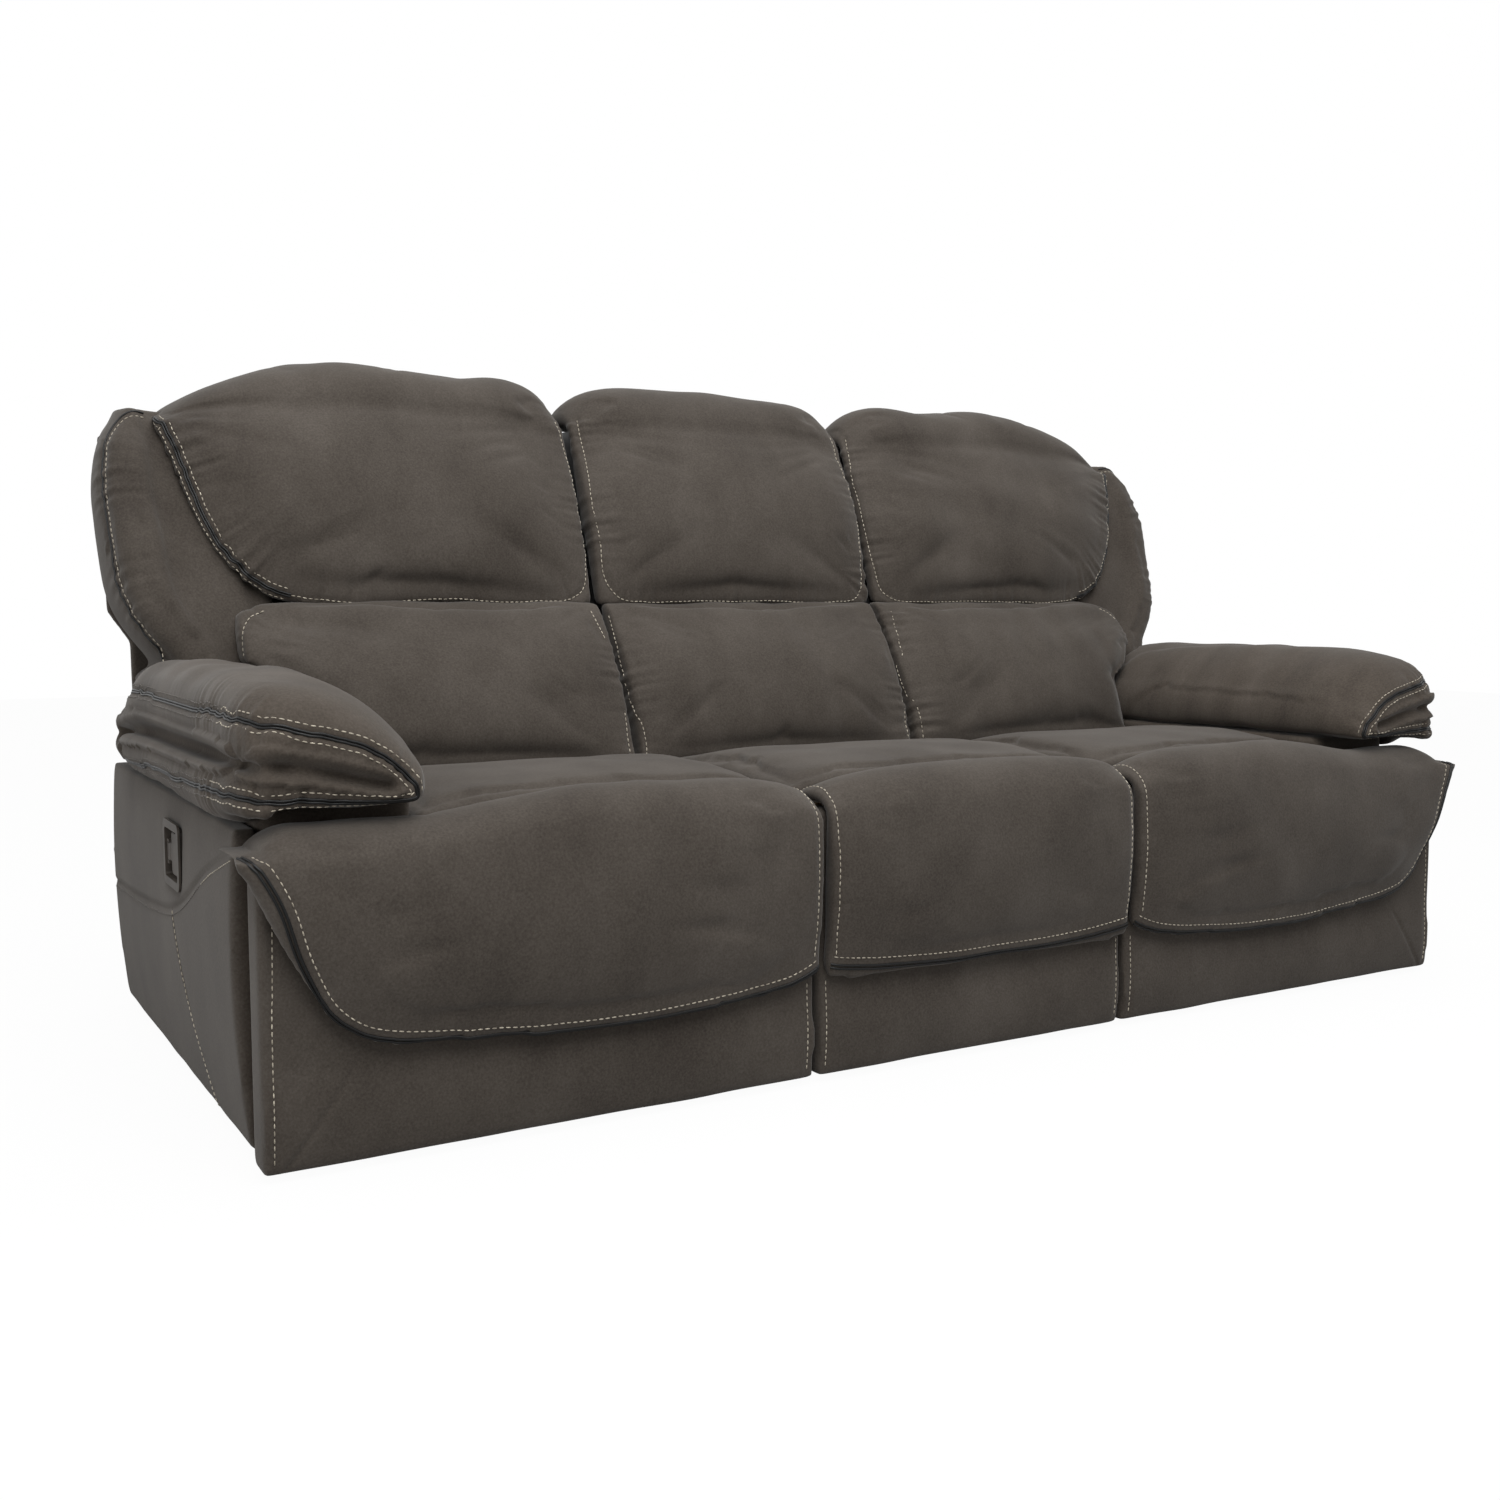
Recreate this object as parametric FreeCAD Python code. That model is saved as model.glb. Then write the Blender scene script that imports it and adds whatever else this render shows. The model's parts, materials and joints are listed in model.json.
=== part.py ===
import FreeCAD, Part
import os
from math import cos, hypot, radians, sin

# Three seat reclining sofa: both end seats recline, the middle seat is fixed.
# Millimetres. X runs along the sofa, -Y is the front and Z is up.
# While modelling, y = 0 is the face of the lower front panels and the floor is z = 0.

V = FreeCAD.Vector

# Overall layout, outwards from the middle plane
CENTRE_HALF = 290.0
END_SEAT_WIDTH = 548.0
ARM_WIDTH = 191.0
SIDE_SKIN = 35.0
PAD_OVERHANG = 20.0
SEAM_GAP = 4.0
ARM_INNER = CENTRE_HALF + END_SEAT_WIDTH
ARM_OUTER = ARM_INNER + ARM_WIDTH
SIDE_OUTER = ARM_OUTER + SIDE_SKIN
PAD_REACH = SIDE_OUTER + PAD_OVERHANG

# Depth and height
FRONT_REACH = 45.0
BACK_REACH = 975.0
BASE_REAR = BACK_REACH - 9
TOP_HEIGHT = 1070.0
FLOOR_GAP = 10.0
GLIDE_RADIUS = 19.0

# Seat
SEAT_CROWN = 440.0
SEAT_SIDE = 412.0
SEAT_REAR_TOP = 396.0
SEAT_BOTTOM = 360.0
SEAT_REAR = 556.0
SEAT_FRONT = 132.0
ROLL_REAR = 90.0
ROLL_CROWN = 443.0

# Front panels
BOARD_FRONT = 60.0
BOARD_THICKNESS = 18.0
BOARD_TOP = 390.0
PANEL_BOTTOM = 12.0
FLAP_BACK = 4.5
FLAP_BOTTOM = 146.0
FLAP_SAG = 30.0

# Arms
ARM_TOP = 438.0
ARM_FRONT = 96.0
ARM_PAD_CREST = 594.0
ARM_PAD_REAR = 905.0
ARM_PAD_FRONT = 2.0
ARM_PAD_LIFT = 426.0
ROLL_BOTTOM = 412.0
SIDE_FRONT = 94.0
SIDE_TOP = 408.0
ARM_REAR_TOP = 250.0

# Back: the pads lean on a plane through this point
LEAN_Y = 700.0
LEAN_Z = 584.0
LEAN_SLOPE = 0.378
LUMBAR_BOTTOM = 402.0
LUMBAR_FRONT = 548.0
HEAD_HEIGHT = 399.0
LUMBAR_TOP = TOP_HEIGHT - HEAD_HEIGHT
HEAD_EDGE = 62.0
SEAM_DEPTH = 30.886
SEAM_Y = LEAN_Y + LEAN_SLOPE * (LUMBAR_TOP - LEAN_Z) - SEAM_DEPTH
HEAD_SLOPE = 0.40
HEAD_BULGE = 52.0
FRAME_TOP = TOP_HEIGHT - 85
FRAME_REAR = BACK_REACH - 27
FRAME_BOTTOM = 322.0
BACK_BOTTOM = 415.0
PANEL_SKIN = 13.0
WING_BOTTOM = 548.0
WING_TOP = TOP_HEIGHT - 92
WING_FLARE = 608.0
WING_INNER = ARM_INNER + 4
TONGUE_OUTER = ARM_OUTER - 3

# Wood and steel sections
RAIL = 20.0
WOOD = 18.0
REAR_RAIL_Y = 900.0
REAR_RAIL_LOW = 60.0
REAR_RAIL_HIGH = 170.0
PLATE = 3.0
LINK = 4.0
LAYER_GAP = 1.0
LINK_WIDTH = 22.0
TUBE_RADIUS = 9.0
PIN_RADIUS = 4.0
PIN_CLEARANCE = 0.25

# Footrest linkage in the Y and Z plane
POLE = (12.0, 438.0)
LINE_ANGLE = -36.87
SWING_ANGLE = -55.0
GROUND_REACH = 230.0
GROUND_SPACING = 100.0
UPPER_RADIUS = 150.0
LOWER_RADIUS = 205.0
TUBE_STATION = 60.0

# Back pivot
BACK_PIVOT = (660.0, 350.0)

# Release handle
HANDLE_Y = 440.0
HANDLE_Z = 330.0
BEZEL_LENGTH = 105.0
BEZEL_HEIGHT = 92.0
BEZEL_LIP = 3.0
CUP_LENGTH = 88.0
CUP_HEIGHT = 74.0
CUP_DEPTH = 24.0
CUP_WALL = 2.0
PADDLE_LENGTH = 52.0
PADDLE_HEIGHT = 58.0
PADDLE_THICKNESS = 5.0
TAB_LENGTH = 15.0
TAB_HEIGHT = 24.0
HINGE_RADIUS = 3.0

shift_y = (FRONT_REACH - BACK_REACH) / 2
seat_middle = (CENTRE_HALF + ARM_INNER) / 2


def box(x0, x1, y0, y1, z0, z1):
    return Part.makeBox(x1 - x0, y1 - y0, z1 - z0, V(x0, y0, z0))


def rod_x(x0, x1, centre, radius):
    return Part.makeCylinder(radius, x1 - x0, V(x0, centre[0], centre[1]), V(1, 0, 0))


def rod_z(x, y, z0, z1, radius):
    return Part.makeCylinder(radius, z1 - z0, V(x, y, z0), V(0, 0, 1))


def at_x(x):
    return lambda a, b: V(x, a, b)


def at_y(y):
    return lambda a, b: V(a, y, b)


def at_z(z):
    return lambda a, b: V(a, b, z)


def outline(place, start, steps):
    """Closed wire of lines and three point arcs. A step is (end,) or (middle, end)."""
    edges = []
    here = place(*start)
    for step in steps:
        there = place(*step[-1])
        if len(step) == 1:
            edges.append(Part.LineSegment(here, there).toShape())
        else:
            edges.append(Part.Arc(here, place(*step[0]), there).toShape())
        here = there
    edges.append(Part.LineSegment(here, place(*start)).toShape())
    return Part.Wire(edges)


def loft(wires):
    solid = Part.makeLoft(wires, True, False)
    if solid.Volume < 0:
        solid.reverse()
    return solid


def slab(place, direction, start, steps):
    """Straight solid on an outline."""
    return Part.Face(outline(place, start, steps)).extrude(direction)


def polygon_x(x0, x1, points):
    return slab(at_x(x0), V(x1 - x0, 0, 0), points[0], [(p,) for p in points[1:]])


def polygon_y(y0, y1, points):
    return slab(at_y(y0), V(0, y1 - y0, 0), points[0], [(p,) for p in points[1:]])


def joined(first, others):
    return first.fuse(others).removeSplitter()


def mirrored(shape):
    return shape.mirror(V(0, 0, 0), V(1, 0, 0))


def blend(first, last, share):
    return first + (last - first) * share


def lean(z):
    """Plane at the back of the pads."""
    return LEAN_Y + LEAN_SLOPE * (z - LEAN_Z)


def along(origin, angle, length):
    return (origin[0] + length * cos(radians(angle)), origin[1] + length * sin(radians(angle)))


# Fullness of a cushion across its width: drawn in at both edges, full in the middle
FULLNESS = ((0.0, 0.15), (0.07, 0.65), (0.28, 0.95), (0.5, 1.0), (0.72, 0.95), (0.93, 0.65), (1.0, 0.15))


def across(x0, x1):
    return [(blend(x0, x1, share), full) for share, full in FULLNESS]


def seat_cushion(x0, x1):
    wires = []
    for x, full in across(x0, x1):
        front = blend(SEAT_SIDE - 8, SEAT_SIDE + 12, full)
        middle = blend(SEAT_SIDE - 4, SEAT_CROWN, full)
        steps = [
            ((SEAT_REAR, SEAT_BOTTOM),),
            ((SEAT_REAR, SEAT_REAR_TOP),),
            ((SEAT_REAR * 0.55, middle), (ROLL_REAR + SEAM_GAP, front)),
        ]
        wires.append(outline(at_x(x), (ROLL_REAR + SEAM_GAP, SEAT_BOTTOM), steps))
    return loft(wires)


def flap_section(x, crown, front, bottom, bulge):
    """Waterfall roll over the front edge of the seat, running down into the flap."""
    steps = [
        ((BOARD_FRONT * 0.6, crown), (-FRONT_REACH * 0.55, front)),
        ((-bulge, blend(bottom, front, 0.62)), (-FRONT_REACH * 0.35, bottom)),
        ((FLAP_BACK, bottom + 10),),
        ((FLAP_BACK, BOARD_TOP + 6),),
        ((ROLL_REAR, BOARD_TOP + 6),),
    ]
    return outline(at_x(x), (ROLL_REAR, BOARD_TOP + 12), steps)


def centre_flap():
    half = CENTRE_HALF - SEAM_GAP
    wires = []
    for x, full in across(-half, half):
        wires.append(flap_section(
            x,
            blend(SEAT_SIDE, ROLL_CROWN, full),
            blend(SEAT_SIDE - 28, SEAT_SIDE - 6, full),
            blend(FLAP_BOTTOM + FLAP_SAG, FLAP_BOTTOM + 16, full),
            blend(FRONT_REACH * 0.6, FRONT_REACH * 0.9, full),
        ))
    return loft(wires)


def end_flap():
    """Flap of an end seat: it runs on in front of the arm and turns up to a pointed corner."""
    inner = CENTRE_HALF + SEAM_GAP
    top_under_arm = ARM_PAD_LIFT - 12
    stations = (
        (inner, SEAT_SIDE, SEAT_SIDE - 28, FLAP_BOTTOM + FLAP_SAG, FRONT_REACH * 0.6),
        (inner + 38, ROLL_CROWN - 12, SEAT_SIDE - 12, FLAP_BOTTOM + 14, FRONT_REACH * 0.8),
        (inner + 160, ROLL_CROWN, SEAT_SIDE - 6, FLAP_BOTTOM - 2, FRONT_REACH),
        (inner + 380, ROLL_CROWN - 2, SEAT_SIDE - 6, FLAP_BOTTOM - 8, FRONT_REACH),
        (ARM_INNER - 14, top_under_arm + 4, SEAT_SIDE - 20, FLAP_BOTTOM + 6, FRONT_REACH * 0.96),
        (ARM_INNER + 110, top_under_arm, SEAT_SIDE - 22, FLAP_BOTTOM + 30, FRONT_REACH * 0.92),
        (ARM_OUTER, top_under_arm, SEAT_SIDE - 22, FLAP_BOTTOM + 128, FRONT_REACH * 0.8),
        (PAD_REACH - 2, top_under_arm - 2, SEAT_SIDE - 16, FLAP_BOTTOM + 232, FRONT_REACH * 0.6),
    )
    return loft([flap_section(*station) for station in stations])


def front_pad(x0, x1):
    """Lower front panel: foam under tight fabric, drawn in at both side edges."""
    wires = []
    for x, full in across(x0, x1):
        steps = [
            ((BOARD_FRONT - 1, BOARD_TOP),),
            ((FLAP_BACK + 1, BOARD_TOP),),
            ((FLAP_BACK + 1, FLAP_BOTTOM - 16),),
            ((blend(FLAP_BACK - 1, -2, full), FLAP_BOTTOM / 2), (FLAP_BACK + 1, PANEL_BOTTOM)),
        ]
        wires.append(outline(at_x(x), (BOARD_FRONT - 1, PANEL_BOTTOM), steps))
    return loft(wires)


def front_board(x0, x1):
    board = box(x0, x1, BOARD_FRONT, BOARD_FRONT + BOARD_THICKNESS, PANEL_BOTTOM + 8, BOARD_TOP)
    upright = [edge for edge in board.Edges if abs(edge.tangentAt(edge.FirstParameter).y) > 0.99]
    return board.makeFillet(12, upright)


def lumbar_chord(z):
    """Straight line from the seat seam of a lumbar roll to the seam under the head pad."""
    return blend(LUMBAR_FRONT, SEAM_Y, (z - LUMBAR_BOTTOM) / (LUMBAR_TOP - LUMBAR_BOTTOM))


def lumbar_section(x, bottom, top, forward, bulge):
    """Roll above the seat: full in front, rounded back at the top under the head pad."""
    seam = (lumbar_chord(bottom) - forward, bottom)
    shoulder = (lumbar_chord(top) - 20, top - 14)
    chord = (shoulder[0] - seam[0], shoulder[1] - seam[1])
    length = hypot(*chord)
    middle = (
        blend(seam[0], shoulder[0], 0.55) - bulge * chord[1] / length,
        blend(seam[1], shoulder[1], 0.55) + bulge * chord[0] / length,
    )
    steps = [
        (middle, shoulder),
        ((lumbar_chord(top) - 4, top - 2), (lean(top) - 1, top)),
        ((lean(bottom) - 1, bottom),),
    ]
    return outline(at_x(x), seam, steps)


def lumbar_pad(x0, x1):
    top = LUMBAR_TOP - 4
    return loft([lumbar_section(x, LUMBAR_BOTTOM, top, 0, blend(10, 40, full))
                 for x, full in across(x0, x1)])


def end_lumbar_pad():
    """Lumbar roll between seat and head pad, with an ear that reaches over the arm."""
    roll = lumbar_pad(CENTRE_HALF + SEAM_GAP, ARM_INNER - 8)
    crest = ARM_PAD_CREST
    stations = (
        (ARM_INNER - 30, crest - 66, LUMBAR_TOP - 5, 34, 14),
        (ARM_INNER + 6, crest - 64, LUMBAR_TOP - 6, 34, 14),
        (ARM_INNER + 42, crest - 38, LUMBAR_TOP - 10, 26, 10),
        (ARM_INNER + 78, crest - 8, LUMBAR_TOP - 24, 10, 4),
    )
    return joined(roll, [loft([lumbar_section(*station) for station in stations])])


def head_section(x, bottom, top, full):
    """Pillow in front of the back frame, rolled over the top rail."""
    shoulder = blend(bottom, top, 0.8)
    front_low = SEAM_Y + HEAD_SLOPE * (bottom - LUMBAR_TOP)
    front_high = SEAM_Y + HEAD_SLOPE * (shoulder - LUMBAR_TOP) - HEAD_BULGE * 0.45 * full
    middle_z = blend(bottom, shoulder, 0.55)
    middle_y = (front_low + front_high) / 2 - HEAD_BULGE * 0.62 * full
    crest = blend(front_high, BACK_REACH - 26, 0.5)
    ledge = FRAME_TOP + 2
    rear = BACK_REACH - 14 - 14 * (1 - full)
    steps = [
        ((middle_y, middle_z), (front_high, shoulder)),
        ((crest, top), (rear, blend(ledge, top, 0.3))),
        ((rear, ledge),),
        ((lean(ledge), ledge),),
        ((lean(bottom), bottom),),
    ]
    return outline(at_x(x), (front_low, bottom), steps)


def centre_head_pad():
    wires = []
    for x, full in across(SEAM_GAP - CENTRE_HALF - 6, CENTRE_HALF + 6 - SEAM_GAP):
        bottom = blend(LUMBAR_TOP + 9, LUMBAR_TOP + 2, full)
        wires.append(head_section(x, bottom, blend(TOP_HEIGHT - HEAD_EDGE, TOP_HEIGHT, full), full))
    return loft(wires)


def end_head_pad():
    inner = CENTRE_HALF + 6 + SEAM_GAP
    stations = (
        (inner, LUMBAR_TOP + 9, TOP_HEIGHT - HEAD_EDGE, 0.1),
        (inner + 45, LUMBAR_TOP + 4, TOP_HEIGHT - 22, 0.65),
        (inner + 180, LUMBAR_TOP + 2, TOP_HEIGHT - 3, 0.95),
        (inner + 360, LUMBAR_TOP + 2, TOP_HEIGHT, 1.0),
        (inner + 520, LUMBAR_TOP + 10, TOP_HEIGHT - 8, 0.9),
        (inner + 625, LUMBAR_TOP + 74, TOP_HEIGHT - 24, 0.6),
        (inner + 672, LUMBAR_TOP + 179, TOP_HEIGHT - 48, 0.35),
        (inner + 705, LUMBAR_TOP + 274, TOP_HEIGHT - 68, 0.1),
    )
    return loft([head_section(*station) for station in stations])


def wing_section(z, edge, roll, inset, bulge):
    front = lean(z) + 2 + inset
    rear = FRAME_REAR + 6 - inset * 0.4
    steps = [
        ((edge - roll, front),),
        ((edge - roll / 2, front - 20 - bulge), (edge - 4, front - 6)),
        ((edge + 4, (front + rear) / 2), (edge - 12, rear)),
        ((WING_INNER + inset, rear),),
    ]
    return outline(at_z(z), (WING_INNER + inset, front), steps)


def wing_pad():
    """Outer part of the back beside the head pad. It flares above the arm pad, and a tongue dips
    inside the side panel."""
    outer = PAD_REACH
    edges = (
        (TONGUE_OUTER - 2, 76, 4, 0),
        (TONGUE_OUTER, 76, 2, 3),
        (outer - 20, 76, 0, 6),
        (outer - 8, 76, 0, 8),
        (outer - 3, 76, 0, 8),
        (outer - 1, 72, 0, 7),
        (outer - 11, 60, 4, 4),
        (outer - 40, 34, 20, 0),
    )
    height = WING_TOP - WING_BOTTOM
    sections = []
    for number, edge in enumerate(edges):
        z = WING_BOTTOM + height * number / (len(edges) - 1)
        sections.append(wing_section(z, *edge))
    points = [
        (lean(448) + 6, 448),
        (FRAME_REAR + 4, 402),
        (FRAME_REAR + 4, WING_BOTTOM + 4),
        (lean(WING_BOTTOM + 4) + 6, WING_BOTTOM + 4),
    ]
    tongue = polygon_x(WING_INNER, TONGUE_OUTER, points)
    return joined(loft(sections), [tongue])


def back_stile(x0):
    """Side board of a back frame: leaning front edge, upright rear edge."""
    points = [
        (lean(FRAME_BOTTOM) + 2, FRAME_BOTTOM),
        (BACK_PIVOT[0] + 45, FRAME_BOTTOM),
        (FRAME_REAR, BACK_BOTTOM + 4),
        (FRAME_REAR, FRAME_TOP - 30),
        (FRAME_REAR - 26, FRAME_TOP),
        (lean(FRAME_TOP) + 2, FRAME_TOP),
    ]
    return polygon_x(x0, x0 + RAIL, points)


def back_frame(x0, x1):
    """Two stiles, a top rail, a middle rail at the lumbar seam, and a low rail."""
    rails = [
        box(x0, x1, lean(FRAME_TOP) + 2, lean(FRAME_TOP) + 2 + RAIL, FRAME_TOP - 70, FRAME_TOP),
        box(x0, x1, lean(700) + 2, lean(700) + 2 + RAIL, 640, 700),
        box(x0, x1, lean(430) + 2, lean(430) + 2 + RAIL, 360, 430),
        box(x0, x1, FRAME_REAR - RAIL, FRAME_REAR, BACK_BOTTOM + 12, BACK_BOTTOM + 72),
        back_stile(x1 - RAIL),
    ]
    return joined(back_stile(x0), rails)


def back_panel(x0, x1, low_x1):
    """Rear skin of a back, slightly crowned, rolled in at the top."""
    points = [(x0, BACK_BOTTOM), (low_x1, BACK_BOTTOM)]
    if low_x1 < x1:
        points += [(low_x1, WING_FLARE), (x1, WING_FLARE + 50), (x1 + 8, WING_TOP - 40), (x1 - 30, WING_TOP)]
        points += [(x1 - 90, FRAME_TOP)]
    else:
        points += [(x1, FRAME_TOP)]
    points += [(x0, FRAME_TOP)]
    rear = FRAME_REAR + 7
    flat = polygon_y(rear, rear + 40, points)
    middle = (BACK_BOTTOM + FRAME_TOP) / 2
    steps = [
        ((rear, FRAME_TOP + 1),),
        ((rear + PANEL_SKIN - 5, FRAME_TOP + 1),),
        ((rear + PANEL_SKIN + 6, middle), (rear + PANEL_SKIN - 4, BACK_BOTTOM)),
    ]
    crowned = slab(at_x(x0 - 1), V(x1 - x0 + 20, 0, 0), (rear, BACK_BOTTOM), steps)
    return flat.common(crowned)


def arm_body():
    """Padded arm box, low behind the arm pad so that the back can dip beside it."""
    points = [
        (ARM_FRONT, FLOOR_GAP),
        (BASE_REAR - 6, FLOOR_GAP),
        (BASE_REAR - 6, ARM_REAR_TOP),
        (610, ARM_TOP - 2),
        (ARM_FRONT, ARM_TOP - 2),
    ]
    body = polygon_x(ARM_INNER, ARM_OUTER, points)
    front = [edge for edge in body.Edges
             if edge.BoundBox.YMax < ARM_FRONT + 1 and edge.BoundBox.ZLength > 100]
    return body.makeFillet(14, front)


def arm_pad_end(z):
    return lean(z) - 25


def arm_pad_section(y, full, inset):
    """Double roll: the upper one rises from the seat to a crest near the outer side, and a slimmer
    one lies below its crease."""
    low = ROLL_BOTTOM + 2
    crest = blend(ARM_TOP + 84, ARM_PAD_CREST, full)
    inner = ARM_INNER + inset
    outer = PAD_REACH - 16 - inset
    waist = blend(ARM_TOP, crest, 0.36)
    steps = [
        ((inner - 4, blend(ARM_TOP, crest, 0.24)), (inner + 22, blend(ARM_TOP, crest, 0.52))),
        ((blend(inner, outer, 0.36), blend(ARM_TOP, crest, 0.87)), (blend(inner, outer, 0.74), crest)),
        ((outer - 22, blend(ARM_TOP, crest, 0.93)), (outer - 4, blend(ARM_TOP, crest, 0.70))),
        ((outer + 2 * full, blend(ARM_TOP, crest, 0.54)), (outer - 16, waist)),
        ((outer + 14 * full, blend(low, waist, 0.5)), (outer - 8, low)),
        ((ARM_OUTER + 2, low),),
        ((ARM_OUTER + 2, ARM_TOP),),
    ]
    return outline(at_y(y), (inner - 2, ARM_TOP), steps)


def arm_pad():
    """Padded arm rest: blunt front tip over the footrest corner, rear end leaning with the back,
    and the outer rolls running on to the rear beside the wing."""
    stations = (
        (ARM_PAD_FRONT, 0.1, 26),
        (ARM_PAD_FRONT + 34, 0.6, 6),
        (ARM_FRONT + 14, 0.9, 0),
        (280, 1.0, 0),
        (450, 1.0, 0),
        (620, 0.96, 0),
        (770, 0.62, 0),
        (ARM_PAD_REAR, 0.0, 4),
    )
    pad = loft([arm_pad_section(*station) for station in stations])
    front = box(ARM_OUTER - 40, PAD_REACH + 40, ARM_PAD_FRONT - 40, SIDE_FRONT - 2, 300, ARM_PAD_LIFT)
    pad = pad.cut(front)
    rear = ARM_PAD_REAR + 40
    reach = [(arm_pad_end(300), 300), (rear, 300), (rear, 700), (arm_pad_end(700), 700)]
    behind = polygon_x(ARM_INNER - 60, ARM_OUTER + 2, reach)
    return pad.cut(behind)


def around_handle(x0, length, height):
    return box(x0, SIDE_OUTER + 20, HANDLE_Y - length / 2, HANDLE_Y + length / 2,
               HANDLE_Z - height / 2, HANDLE_Z + height / 2)


def handle_window():
    """Opening for the cup, with a flat seat for the lip."""
    window = around_handle(ARM_OUTER - 1, CUP_LENGTH, CUP_HEIGHT)
    return window.fuse(around_handle(SIDE_OUTER, BEZEL_LENGTH + 4, BEZEL_HEIGHT + 4))


def side_panel():
    """Outer side skin, slightly crowned."""
    steps = [
        ((ARM_OUTER + 1, SIDE_TOP),),
        ((SIDE_OUTER - 6, SIDE_TOP),),
        ((SIDE_OUTER, HANDLE_Z - 60), (SIDE_OUTER - 18, FLOOR_GAP)),
    ]
    skin = slab(at_y(SIDE_FRONT), V(0, BASE_REAR - SIDE_FRONT, 0), (ARM_OUTER + 1, FLOOR_GAP), steps)
    return skin.cut(handle_window())


def bezel_plate(length, height, x0, x1, corner):
    plate = box(x0, x1, HANDLE_Y - length / 2, HANDLE_Y + length / 2,
                HANDLE_Z - height / 2, HANDLE_Z + height / 2)
    sides = [edge for edge in plate.Edges if edge.BoundBox.XLength > 1]
    return plate.makeFillet(corner, sides)


def handle_bezel():
    """Moulded surround: a lip on the fabric and a cup that the paddle sits in."""
    face = SIDE_OUTER
    lip = bezel_plate(BEZEL_LENGTH, BEZEL_HEIGHT, face, face + BEZEL_LIP, 12)
    cup = bezel_plate(CUP_LENGTH - 1, CUP_HEIGHT - 1, face - CUP_DEPTH, face + 1, 8)
    hollow = bezel_plate(CUP_LENGTH - 1 - 2 * CUP_WALL, CUP_HEIGHT - 1 - 2 * CUP_WALL,
                         face - CUP_DEPTH + CUP_WALL, face + BEZEL_LIP + 1, 6)
    ears = []
    for z0 in (HANDLE_Z - TAB_HEIGHT / 2 - 5, HANDLE_Z + TAB_HEIGHT / 2 + 1):
        ears.append(box(face - 12, face, hinge_y() - 5, hinge_y() + 6, z0, z0 + 4))
    body = joined(lip, [cup]).cut(hollow)
    body = body.fuse(ears)
    pin = rod_z(face - 5, hinge_y(), HANDLE_Z - TAB_HEIGHT / 2 - 5,
                HANDLE_Z + TAB_HEIGHT / 2 + 5, HINGE_RADIUS)
    return joined(body, [pin])


def hinge_y():
    return HANDLE_Y + CUP_LENGTH / 2 - CUP_WALL - 8


def handle_paddle():
    """Pull plate with a rear tab that turns on the upright pin."""
    face = SIDE_OUTER
    rear = hinge_y() - TAB_LENGTH
    plate = box(face - PADDLE_THICKNESS - 2, face - 2, rear - PADDLE_LENGTH + 8, rear,
                HANDLE_Z - PADDLE_HEIGHT / 2, HANDLE_Z + PADDLE_HEIGHT / 2)
    sides = [edge for edge in plate.Edges if edge.BoundBox.XLength > 1]
    plate = plate.makeFillet(7, sides)
    tab = box(face - PADDLE_THICKNESS - 2, face - 2, rear - 2, hinge_y(),
              HANDLE_Z - TAB_HEIGHT / 2, HANDLE_Z + TAB_HEIGHT / 2)
    eye = rod_z(face - 5, hinge_y(), HANDLE_Z - TAB_HEIGHT / 2, HANDLE_Z + TAB_HEIGHT / 2, HINGE_RADIUS + 2.5)
    bore = rod_z(face - 5, hinge_y(), HANDLE_Z - TAB_HEIGHT, HANDLE_Z + TAB_HEIGHT, HINGE_RADIUS + PIN_CLEARANCE)
    return joined(plate, [tab, eye]).cut(bore)


# Linkage layers, counted from the side plates towards the middle of the seat
def layer(number):
    start = CENTRE_HALF + PLATE + LAYER_GAP + number * (LINK + LAYER_GAP)
    return start, start + LINK


def both_sides(shape):
    """The shape and its twin at the other side of the same seat."""
    twin = shape.mirror(V(seat_middle, 0, 0), V(1, 0, 0))
    return [shape, twin]


def pivot_points():
    front_ground = along(POLE, LINE_ANGLE, GROUND_REACH)
    rear_ground = along(front_ground, LINE_ANGLE, GROUND_SPACING)
    return front_ground, rear_ground


def bar(x0, x1, start, end, width):
    """Flat link with round ends."""
    length = hypot(end[0] - start[0], end[1] - start[1])
    along_y = (end[0] - start[0]) / length
    along_z = (end[1] - start[1]) / length
    side = (-along_z * width / 2, along_y * width / 2)
    reach = (along_y * width / 2, along_z * width / 2)
    corner = (end[0] + side[0], end[1] + side[1])
    steps = [
        ((end[0] + reach[0], end[1] + reach[1]), (end[0] - side[0], end[1] - side[1])),
        ((start[0] - side[0], start[1] - side[1]),),
        ((start[0] - reach[0], start[1] - reach[1]), (start[0] + side[0], start[1] + side[1])),
    ]
    return slab(at_x(x0), V(x1 - x0, 0, 0), corner, steps)


def hole(point):
    return rod_x(CENTRE_HALF - 5, seat_middle, point, PIN_RADIUS + PIN_CLEARANCE)


def swing_arm(ground):
    """Pair of swing arms on one torque tube: they turn on the side plates and carry both couplers."""
    x0, x1 = layer(0)
    upper = along(ground, SWING_ANGLE, UPPER_RADIUS)
    lower = along(ground, SWING_ANGLE, LOWER_RADIUS)
    arm = bar(x0, x1, ground, lower, LINK_WIDTH).cut(hole(ground))
    upper_pin = rod_x(x1, layer(1)[1], upper, PIN_RADIUS)
    lower_pin = rod_x(x1, layer(2)[1], lower, PIN_RADIUS)
    tube = rod_x(x0, 2 * seat_middle - x0, along(ground, SWING_ANGLE, TUBE_STATION), TUBE_RADIUS)
    parts = both_sides(arm) + both_sides(upper_pin) + both_sides(lower_pin)
    return joined(tube, parts)


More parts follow.
